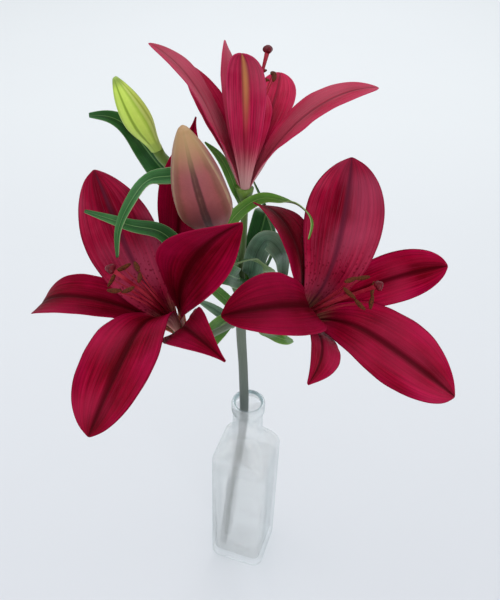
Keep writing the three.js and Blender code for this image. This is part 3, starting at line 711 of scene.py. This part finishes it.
# A darker copy of the crimson: painted shade.
VELVET_PAINTED_SHADE = ((0.32, (0.085, 0.0002, 0.003, 1)), (0.50, (0.17, 0.0003, 0.010, 1)),
          (0.72, (0.32, 0.001, 0.032, 1)))
# A lighter, pinker copy of the crimson: painted light.
ROSY_PAINTED_LIGHT = ((0.32, (0.17, 0.001, 0.010, 1)), (0.50, (0.30, 0.004, 0.030, 1)), (0.72, (0.42, 0.022, 0.065, 1)))
PINKER = ((0.30, (0.30, 0.002, 0.024, 1)), (0.52, (0.45, 0.005, 0.050, 1)), (0.78, (0.58, 0.020, 0.09, 1)))
PINKER_BACK = ((0.30, (0.33, 0.004, 0.035, 1)), (0.52, (0.50, 0.012, 0.070, 1)),
               (0.78, (0.62, 0.04, 0.12, 1)))
# The furrow down a tepal face is painted darker: a painted shade in the crease.
FURROW_PAINTED_SHADE = (0.045, 0.0002, 0.002, 1)
# Pink for lighter streaks, and for patches of painted sheen.
STREAK_AND_SHEEN_PINK = (0.42, 0.020, 0.070, 1)
WARM_THROAT = (0.56, 0.24, 0.15, 1)
petal_face = blade_skin(
    "crimson petal face", CRIMSON, WARM_THROAT, 0.22, FURROW_PAINTED_SHADE, 0.20, edge=(0.10, 0.001, 0.012, 1),
    fuzz=0.012, streak_and_sheen_colour=STREAK_AND_SHEEN_PINK, painted_sheen_strength=0.40)
# The crimson face painted darker, with paler margins: painted shade, and a painted highlight along the edge.
velvet_painted_shade_face = blade_skin(
    "velvet petal face with painted shade", VELVET_PAINTED_SHADE, (0.50, 0.20, 0.12, 1), 0.17, FURROW_PAINTED_SHADE, 0.24, edge=(0.34, 0.010, 0.05, 1),
    rib_strength=0.9, edge_strength=0.4, roughness=0.55, fuzz=0.008, streak_and_sheen_colour=(0.32, 0.005, 0.045, 1),
    painted_sheen_strength=0.40)
# The crimson face painted lighter and pinker, as painted light, with dark papillae near the foot.
rosy_painted_light_face = blade_skin(
    "rosy petal face with painted light", ROSY_PAINTED_LIGHT, WARM_THROAT, 0.21, (0.10, 0.012, 0.03, 1), 0.13, edge=(0.14, 0.001, 0.018, 1),
    fuzz=0.015, streak_and_sheen_colour=(0.38, 0.060, 0.12, 1), painted_sheen_strength=0.5, papillae=0.8)
petal_back = blade_skin(
    "crimson petal back", CRIMSON_BACK, (0.50, 0.24, 0.20, 1), 0.24, (0.24, 0.012, 0.025, 1), 0.20,
    edge=(0.45, 0.04, 0.09, 1), rib_strength=0.5, edge_strength=0.4, veins=22, vein_depth=0.50,
    streak_and_sheen_colour=STREAK_AND_SHEEN_PINK, painted_sheen_strength=0.20)
# The top face's dark midrib colour is a painted shade down the furrow.
top_petal_face = blade_skin(
    "top petal face", PINKER, (0.50, 0.12, 0.16, 1), 0.28, (0.10, 0.001, 0.010, 1), 0.12,
    edge=(0.45, 0.03, 0.10, 1), rib_strength=0.6, edge_strength=0.4, vein_depth=0.40, roughness=0.48,
    streak_and_sheen_colour=(0.42, 0.09, 0.13, 1), painted_sheen_strength=0.5)
top_petal_back = blade_skin(
    "top petal back", PINKER_BACK, (0.56, 0.30, 0.30, 1), 0.34, (0.58, 0.26, 0.09, 1), 0.24,
    edge=(0.55, 0.05, 0.16, 1), rib_strength=0.8, rib_run=(0.35, 0.8), veins=22, vein_depth=0.60,
    roughness=0.48, streak_and_sheen_colour=(0.40, 0.10, 0.14, 1), painted_sheen_strength=0.35)
# The tepals that take the darker face's painted shade.
VELVET_PAINTED_SHADE_TEPALS = ("left_flower_inner_tepal_3", "left_flower_outer_tepal_1", "left_flower_outer_tepal_2",
                 "left_flower_outer_tepal_3", "right_flower_inner_tepal_3", "right_flower_outer_tepal_3")
# The tepals that take the lighter face's painted light.
ROSY_PAINTED_LIGHT_TEPALS = ("left_flower_inner_tepal_1", "right_flower_inner_tepal_1")
for flower in FLOWERS:
    stand = flower_stand(flower)
    counts = {"inner": 0, "outer": 0}
    top = flower["name"] == "top_flower"
    for tepal in flower["tepals"]:
        counts[tepal["layer"]] += 1
        node_name = f"{flower['name']}_{tepal['layer']}_tepal_{counts[tepal['layer']]}"
        face = petal_face
        if top:
            face = top_petal_face
        elif node_name in VELVET_PAINTED_SHADE_TEPALS:
            face = velvet_painted_shade_face
        elif node_name in ROSY_PAINTED_LIGHT_TEPALS:
            face = rosy_painted_light_face
        petal = bladed(node_name + "_fine", tepal_surface(tepal), TEPAL_ROWS, TEPAL_COLUMNS, TEPAL_THICKNESS,
                       stand, (face, top_petal_back if top else petal_back))
        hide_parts(node_name)
        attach(petal, "root")

# Hearts of the flowers. A green ovary with a long style that ends in a dark three-lobed stigma,
# and six crimson filaments, each with a rust-brown anther full of pollen balanced on its point.
STYLE_LENGTH = 70
OVARY_RADIUS = 0.0023
STYLE_RADIUS = 0.0011
STIGMA_RADIUS = 0.0034
FILAMENT_RADIUS = 0.00095
ANTHER_RADIUS = 0.0015
STAMENS = 6


def mottled(name, low, high, scale, roughness, relief):
    skin = Skin(name)
    noise = skin.noise(scale, 3)
    skin.shade(Base_Color=skin.ramp(noise, ((0.35, low), (0.65, high))), Roughness=roughness,
               Specular_IOR_Level=0.2)
    roughen(skin, noise, relief)
    return skin.material


filament_skin = mottled("crimson filament", (0.26, 0.004, 0.020, 1), (0.42, 0.030, 0.055, 1), 60, 0.4, 0.1)
pollen = mottled("rust-brown pollen", (0.035, 0.006, 0.003, 1), (0.14, 0.035, 0.006, 1), 1800, 0.9, 0.9)
stigma_skin = mottled("dark stigma", (0.07, 0.002, 0.006, 1), (0.15, 0.005, 0.014, 1), 900, 0.35, 0.5)
ovary_skin = mottled("green ovary", (0.16, 0.20, 0.05, 1), (0.24, 0.30, 0.08, 1), 700, 0.45, 0.2)


def painted(solid, finish):
    solid.data.materials.append(finish)
    return solid


for flower in FLOWERS:
    stand = flower_stand(flower)
    lean = math.radians(flower["droopTurn"])

    def drooped(x, y, z):
        away = flower["droop"] * (z / STYLE_LENGTH) ** 2
        return Vector((x + away * math.cos(lean), y + away * math.sin(lean), z * flower["reach"]))

    def set_out(points, count):
        return [stand @ (p / 1000) for p in route(points, count)]

    style_top = drooped(0, 0, STYLE_LENGTH)
    parts = [painted(ringed_solid("ovary", hoops(
        set_out([drooped(0, 0, 0), drooped(0, 0, 8), drooped(0, 0, 16)], 10), 24,
        lambda s: OVARY_RADIUS - 0.0009 * s, lambda angle, s: 1 + 0.08 * math.cos(6 * angle))), ovary_skin)]
    parts.append(painted(ringed_solid("style", hoops(
        set_out([drooped(0, 0, 13), drooped(0, 0, 40), style_top], 22), 12,
        lambda s: STYLE_RADIUS + 0.0005 * eased((s - 0.85) / 0.15))), filament_skin))
    tip_run = set_out([style_top - Vector((0, 0, 2.5)), style_top, style_top + Vector((0, 0, 2.3))], 8)
    parts.append(painted(ringed_solid("stigma", hoops(
        tip_run, 30, lambda s: STIGMA_RADIUS * math.sin(math.pi * min(0.97, 0.12 + 0.85 * s)) ** 0.6,
        lambda angle, s: 0.88 + 0.14 * math.cos(3 * angle))), stigma_skin))
    for k in range(STAMENS):
        turn = math.radians(flower["stamenTurn"] + 60 * k)

        def at(radius, z):
            return drooped(radius * math.cos(turn), radius * math.sin(turn), z)

        parts.append(painted(ringed_solid("filament", hoops(
            set_out([at(1.3, 2), at(2.8, 24), at(5.6, 44), at(8.8, 57)], 20), 10,
            lambda s: FILAMENT_RADIUS - 0.00055 * s)), filament_skin))
        nod = Matrix.Rotation(turn + math.radians(25 * math.cos(k * 3)), 3, "Z") @ Matrix.Rotation(
            math.radians(18 * math.sin(k * 2)), 3, "X")
        centre = at(9.2, 57.6)
        ends = [centre + nod @ Vector((0, y, 0.06 * abs(y) ** 1.3)) for y in (-4.8, -2.4, 0, 2.4, 4.8)]
        parts.append(painted(ringed_solid("anther", hoops(
            set_out(ends, 14), 16,
            lambda s: ANTHER_RADIUS * math.sin(math.pi * (0.06 + 0.88 * s)) ** 0.55,
            lambda angle, s: 1 - 0.30 * abs(math.cos(angle)) ** 3)), pollen))
    heart = joined(f"{flower['name']}_heart_fine", parts)
    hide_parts(f"{flower['name']}_heart")
    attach(heart, "root")

# Buds. Two closed buds, the larger one dull mauve and the smaller one still green. Three outer
# tepals meet edge to edge round each: a ridge runs up the middle of each tepal, and a groove lies
# where two meet.
BUD_SIDES = 60
BUD_RINGS = 48
RIDGE = 0.06
RIDGE_CREST = 0.03
SEAM_DEPTH = 0.045
SEAM_WIDTH = 0.10
FOLD_DEPTH = 0.03
FOLD_WIDTH = 0.09
BUD_ROLLS = {"dusky_bud": math.radians(56), "green_bud": math.radians(40)}


def bud_skin(name, shade_and_highlight_bands, tip, tip_from, foot, mottle):
    """Colour goes by how far round from the groove a place is, and changes at foot and tip.
    The bands hold the bud's own colour, with painted shade in the groove and folds and a
    painted highlight on each ridge's crest.
    """
    skin = Skin(name)
    around = skin.node("Attribute", attribute_name="ridge").outputs["Fac"]
    up_bud = skin.node("Attribute", attribute_name="rise").outputs["Fac"]
    noise = skin.noise(160, 4)
    grain = skin.noise(900, 3)
    wobble = reckoned(skin, "MULTIPLY_ADD", noise, 0.10, around)
    colour = skin.ramp(reckoned(skin, "SUBTRACT", wobble, 0.05), shade_and_highlight_bands)
    for share, strength, over, blend in (
            (noise, mottle, (0.45, 0.40, 0.38, 1), "MULTIPLY"),
            (grain, mottle, (0.6, 0.6, 0.6, 1), "MULTIPLY"),
            (skin.span(up_bud, tip_from, 1), 0.85, tip, "MIX"),
            (skin.span(up_bud, 0.17, 0.10), 0.8, foot, "MIX")):
        colour = skin.mix(colour, reckoned(skin, "MULTIPLY", share, strength), over, blend)
    skin.shade(Base_Color=colour, Roughness=0.5, Specular_IOR_Level=0.25)
    roughen(skin, grain, 0.3)
    return skin.material


# Painted shade darkens the bands at the groove and the folds, and a painted highlight lightens each ridge's
# crest.
DUSKY_BANDS_PAINTED_SHADE_AND_HIGHLIGHT = ((0.0, (0.24, 0.11, 0.09, 1)), (0.05, (0.13, 0.045, 0.04, 1)), (0.11, (0.12, 0.038, 0.038, 1)),
               (0.17, (0.36, 0.10, 0.11, 1)), (0.62, (0.37, 0.10, 0.10, 1)), (0.76, (0.26, 0.09, 0.065, 1)),
               (0.92, (0.32, 0.12, 0.09, 1)), (0.98, (0.50, 0.34, 0.20, 1)))
GREEN_BANDS_PAINTED_SHADE_AND_HIGHLIGHT = ((0.0, (0.34, 0.52, 0.05, 1)), (0.06, (0.30, 0.46, 0.04, 1)), (0.16, (0.66, 0.90, 0.13, 1)),
               (0.60, (0.70, 0.92, 0.15, 1)), (0.82, (0.42, 0.64, 0.06, 1)), (1.0, (0.76, 0.92, 0.26, 1)))
BUD_FINISHES = {
    "dusky_bud": bud_skin("dusky bud skin", DUSKY_BANDS_PAINTED_SHADE_AND_HIGHLIGHT, tip=(0.44, 0.28, 0.13, 1), tip_from=0.70,
                          foot=(0.74, 0.58, 0.34, 1), mottle=0.45),
    "green_bud": bud_skin("green bud skin", GREEN_BANDS_PAINTED_SHADE_AND_HIGHLIGHT, tip=(0.22, 0.33, 0.06, 1), tip_from=0.88,
                          foot=(0.40, 0.58, 0.10, 1), mottle=0.25),
}
for bud in BUDS:
    base = metres(bud["base"])
    tip = metres(bud["tip"])
    middle = (base + tip) / 2 + metres(bud["bow"])

    def bud_place(s):
        return base * (1 - s) ** 2 + middle * 2 * s * (1 - s) + tip * s * s

    def bud_radius(s):
        if s < bud["widest"]:
            swell = eased(s / bud["widest"]) * 0.55 + 0.45
        else:
            swell = math.cos((s - bud["widest"]) / (1 - bud["widest"]) * math.pi * 0.46) ** 0.8
        return bud["radius"] / 1000 * swell

    def bud_section(around, s):
        angle = around - BUD_ROLLS[bud["name"]]
        seam = math.exp(-(math.sin(1.5 * (angle - math.pi / 3)) / SEAM_WIDTH) ** 2)
        fold = math.exp(-((abs(math.sin(1.5 * angle)) - 0.62) / FOLD_WIDTH) ** 2)
        ridges = 1 + RIDGE * math.cos(3 * angle) + RIDGE_CREST * math.cos(6 * angle)
        return ridges - SEAM_DEPTH * seam - FOLD_DEPTH * fold

    places = [bud_place(i / BUD_RINGS) for i in range(BUD_RINGS + 1)]
    rings = hoops(places, BUD_SIDES, bud_radius, bud_section)
    closed = ringed_solid(bud["name"] + "_fine", rings)
    ridge = closed.data.attributes.new("ridge", "FLOAT", "POINT")
    rise = closed.data.attributes.new("rise", "FLOAT", "POINT")
    steps = {tuple(round(c, 7) for c in p): (i, j)
             for i, ring in enumerate(rings) for j, p in enumerate(ring)}
    for vertex in closed.data.vertices:
        i, j = steps.get(tuple(round(c, 7) for c in vertex.co), (BUD_RINGS, 0))
        thirds = (j / BUD_SIDES - BUD_ROLLS[bud["name"]] / (2 * math.pi)) * 3
        ridge.data[vertex.index].value = abs(2 * (thirds % 1) - 1)
        rise.data[vertex.index].value = i / BUD_RINGS
    closed.data.materials.append(BUD_FINISHES[bud["name"]])
    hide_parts(bud["name"])
    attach(closed, "root")

# Leaves. Strap leaves in a whorl under the flowers: thin, glossy, folded lightly along a pale
# midrib, with parallel veins, a pale rim and a greyer underside.
LEAF_THICKNESS = 0.0007
LEAF_ROWS = 30
LEAF_COLUMNS = 12
FULLEST = 0.565
RIPPLE = 0.5
RIB_DEPTH = 0.35
RIB_WIDTH = 0.9

# A leaf leaves the stem at its height, runs along its spine, and turns its upper face first one
# way and then, at the tip, the other.
LEAVES = [
    {"name": "leaf_arched_left", "width": 15.8, "fold": 16, "height": 324, "around": 199,
     "faces": [[-0.4, -0.6, 0.7], [-0.4, -0.8, 0.6]],
     "spine": [[-27, 2, 387], [-43, -42, 446], [-53, -46, 447], [-62, -48, 447], [-71, -65, 442],
               [-79, -70, 425], [-78, -83, 415]]},
    {"name": "leaf_side_left", "width": 17.2, "fold": 12, "height": 329, "around": -103,
     "faces": [[-0.1, -0.8, 0.7], [0.2, -0.6, 0.7]],
     "spine": [[-6, -17, 348], [-11, -50, 377], [-16, -63, 390], [-27, -71, 399], [-43, -69, 411],
               [-55, -65, 422], [-70, -67, 426], [-85, -63, 428], [-100, -59, 430]]},
    {"name": "leaf_behind_bud", "width": 29, "fold": 12, "height": 342, "around": 61,
     "faces": [[-0.1, -0.6, 0.5], [-0.1, -0.8, 0.7]],
     "spine": [[-16, 26, 350], [-30, 26, 380], [-64, 41, 396], [-75, 32, 418], [-86, 36, 432],
               [-98, 30, 444], [-111, 25, 447]]},
    {"name": "leaf_arched_right", "width": 11.4, "fold": 12, "height": 333, "around": -156,
     "faces": [[0.2, -0.7, 0.8], [0.9, -0.4, 0.3]],
     "spine": [[-19, -11, 374], [-18, -17, 394], [-8, -10, 404], [4, -12, 413], [17, -20, 416],
               [25, -27, 419], [34, -42, 417], [32, -49, 408]]},
    {"name": "leaf_thin", "width": 7.1, "fold": 20, "height": 324, "around": 34,
     "faces": [[0.8, -0.4, 0.3], [0.8, -0.4, 0.3]],
     "spine": [[10, 8, 347], [13, 13, 363], [6, 16, 386], [-4, 27, 404]]},
    {"name": "leaf_upright", "width": 23.8, "fold": 8, "height": 333, "around": 66,
     "faces": [[-0.2, -0.8, 0.4], [0.1, -0.3, 0.8]],
     "spine": [[0, 18, 346], [5, 21, 367], [7, 23, 377], [10, 44, 362], [10, 57, 344]]},
    {"name": "leaf_folded", "width": 20.3, "fold": 12, "height": 320, "around": -24,
     "faces": [[0, -0.7, 0.7], [0.4, -0.8, 0.2]],
     "spine": [[-1, -11, 350], [2, -15, 372], [9, -27, 391], [16, -34, 388], [19, -25, 365],
               [19, -42, 358]]},
    {"name": "leaf_pale", "width": 10.4, "fold": 8, "height": 314, "around": -17,
     "faces": [[0.1, 0.8, 0.7], [-0.5, 0.5, 0.8]],
     "spine": [[9, -5, 343], [9, -25, 365], [1, -22, 370], [-9, -38, 380], [-15, -20, 360],
               [-19, -30, 359]]},
    {"name": "leaf_lower_left", "width": 20, "fold": 10, "height": 296, "around": -167,
     "faces": [[0, -0.6, 1.1], [0, -0.4, 0.9]],
     "spine": [[-20, -13, 304], [-26, -32, 311], [-32, -43, 310], [-38, -60, 322]]},
    {"name": "leaf_lower_right", "width": 16, "fold": 10, "height": 296, "around": -39,
     "faces": [[0.1, -0.3, 0.9], [0.2, -0.4, 0.8]],
     "spine": [[5, -8, 298], [12, -27, 309], [21, -41, 317], [30, -30, 305]]},
    {"name": "leaf_strip", "width": 11, "fold": 10, "height": 306, "around": -168,
     "faces": [[0.3, -0.7, 0.6], [0.3, -0.7, 0.6]],
     "spine": [[-18, -9, 322], [-24, -17, 336], [-31, -25, 350], [-39, -31, 362]]},
    {"name": "leaf_grey", "width": 10, "fold": 10, "height": 290, "around": 175,
     "faces": [[-0.2, -0.7, 0.7], [-0.2, -0.7, 0.7]],
     "spine": [[-19, -1, 299], [-30, -4, 311], [-41, -6, 320]]},
    {"name": "leaf_high_tip", "width": 9, "fold": 12, "height": 398, "around": 150,
     "faces": [[-0.3, -0.5, 0.8], [-0.3, -0.5, 0.8]],
     "spine": [[-15, 5, 410], [-21, 10, 422], [-27, 12, 430], [-35, 14, 437]]},
]


def leaf_surface(leaf):
    stem_top = STEM_PATH[-1]
    radius = (STEM_RADIUS if leaf["height"] < stem_top[2] else STALK_RADIUS) * 1000
    around = math.radians(leaf["around"])
    outward = Vector((math.cos(around), math.sin(around), 0))
    off_axis = radius + CLEARANCE * 1000 + LEAF_THICKNESS * 500
    foot = Vector((stem_top[0], 0, leaf["height"])) + outward * off_axis
    inward = Vector((-outward.x, -outward.y, 0.4)).normalized()
    face_middle, face_tip = (Vector(f) for f in leaf["faces"])
    fine = 200
    spine = route([foot] + leaf["spine"], fine)

    def place(s, t):
        here = min(max(s, 0), 1) * fine
        low = min(int(here), fine - 1)
        centre = spine[low].lerp(spine[low + 1], here - low)
        along = (spine[min(low + 4, fine)] - spine[max(low - 3, 0)]).normalized()
        face = inward.lerp(face_middle, eased(s / 0.3)).lerp(face_tip, eased((s - 0.3) / 0.7))
        side = face.cross(along).normalized()
        up = along.cross(side)
        half_width = leaf["width"] / 2 * ((s + 0.06) ** 0.6 * max(1.03 - s, 0) ** 0.8) / FULLEST
        fold = math.tan(math.radians(leaf["fold"])) * eased((s + 0.05) / 0.3)
        ripple = RIPPLE * abs(t) ** 3 * math.sin(s * 19 + leaf["width"] + 2 * t) * eased(s / 0.2) * (1 - s)
        rib = -RIB_DEPTH * math.exp(-(half_width * t / RIB_WIDTH) ** 2) * (1 - s)
        return centre + side * half_width * t + up * (half_width * abs(t) ** 1.4 * fold + ripple + rib)

    return place


def leaf_skin(name, tones, foot, rib, rim, roughness):
    return blade_skin(
        name, tones, foot, 0.10, rib, 0.09, edge=rim, rib_strength=0.7, edge_strength=0.6, veins=30,
        vein_depth=0.5, grain=1800, roughness=roughness, fuzz=0.0, shine=0.4,
        shine_colour=(0.9, 1.0, 0.85, 1))


DEEP = ((0.30, (0.006, 0.070, 0.010, 1)), (0.52, (0.014, 0.125, 0.018, 1)), (0.78, (0.06, 0.25, 0.06, 1)))
FRESH = ((0.30, (0.05, 0.17, 0.014, 1)), (0.52, (0.085, 0.26, 0.022, 1)), (0.78, (0.15, 0.36, 0.035, 1)))
GREY = ((0.30, (0.075, 0.17, 0.10, 1)), (0.52, (0.15, 0.28, 0.18, 1)), (0.78, (0.27, 0.42, 0.29, 1)))
PALE = ((0.30, (0.16, 0.29, 0.10, 1)), (0.52, (0.24, 0.38, 0.15, 1)), (0.78, (0.33, 0.47, 0.21, 1)))
deep_face = leaf_skin("deep green leaf", DEEP, (0.09, 0.26, 0.03, 1), (0.18, 0.38, 0.12, 1),
                      (0.40, 0.50, 0.26, 1), 0.34)
fresh_face = leaf_skin("fresh green leaf", FRESH, (0.20, 0.40, 0.04, 1), (0.26, 0.44, 0.10, 1),
                       (0.34, 0.50, 0.18, 1), 0.38)
# The grey-green leaf's dark midrib colour is a painted shade down its groove.
grey_face = leaf_skin("grey-green leaf", GREY, (0.16, 0.30, 0.10, 1), (0.03, 0.07, 0.04, 1),
                      (0.42, 0.52, 0.36, 1), 0.36)
leaf_back = leaf_skin("leaf back", PALE, (0.20, 0.34, 0.08, 1), (0.34, 0.48, 0.22, 1),
                      (0.38, 0.50, 0.26, 1), 0.42)
FRESH_LEAVES = ("leaf_arched_right", "leaf_lower_left", "leaf_lower_right", "leaf_strip", "leaf_high_tip")
GREY_LEAVES = ("leaf_folded", "leaf_grey")
for leaf in LEAVES:
    face = deep_face
    if leaf["name"] in FRESH_LEAVES:
        face = fresh_face
    elif leaf["name"] in GREY_LEAVES:
        face = grey_face
    strap = bladed(leaf["name"] + "_fine", leaf_surface(leaf), LEAF_ROWS, LEAF_COLUMNS, LEAF_THICKNESS,
                   Matrix.Identity(4), (face, leaf_back))
    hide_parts(leaf["name"])
    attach(strap, "root")
